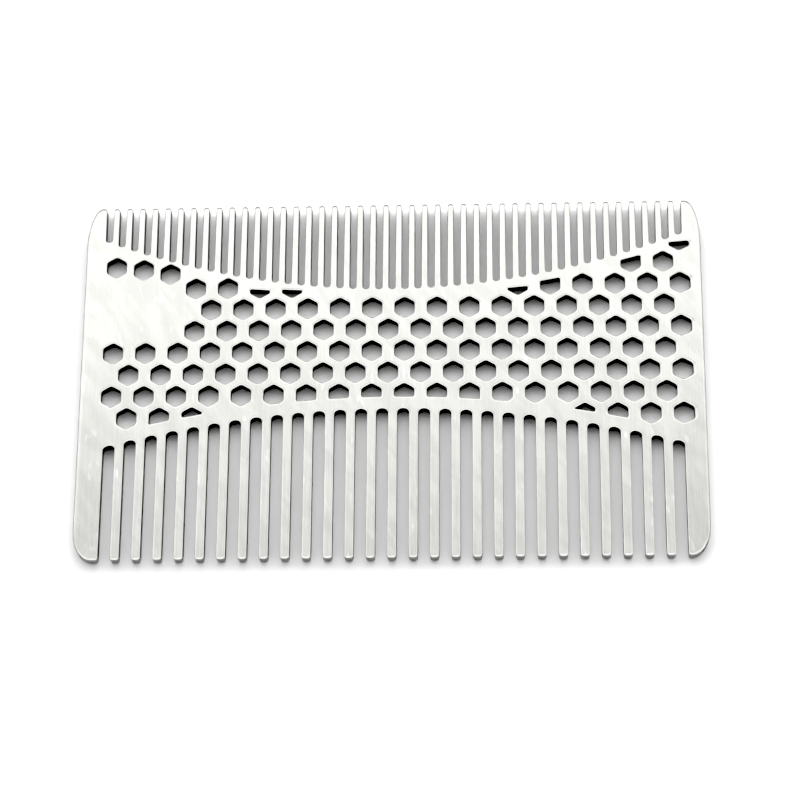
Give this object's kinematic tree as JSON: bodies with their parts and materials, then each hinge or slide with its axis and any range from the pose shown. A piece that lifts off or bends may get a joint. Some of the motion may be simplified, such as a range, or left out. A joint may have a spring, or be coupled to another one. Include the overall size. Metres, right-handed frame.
{
  "type": "beard comb",
  "caption": "Flat steel pocket beard comb with fine teeth on one long edge, wide teeth on the other and a body pierced by hexagonal openings.",
  "frame": {"origin": "middle of the comb's outer rectangle, on the underside", "axes": "+X across the teeth, along the comb's long side; +Y towards the tips of the fine teeth; +Z out of the upper face"},
  "size_m": [0.0856, 0.052, 0.0015],
  "materials": {
    "steel": "satin stainless steel, finely brushed along the teeth, with the cut edges lightly tumbled"
  },
  "bodies": {
    "root": {"comb_plate": "steel"}
  },
  "joints": []
}
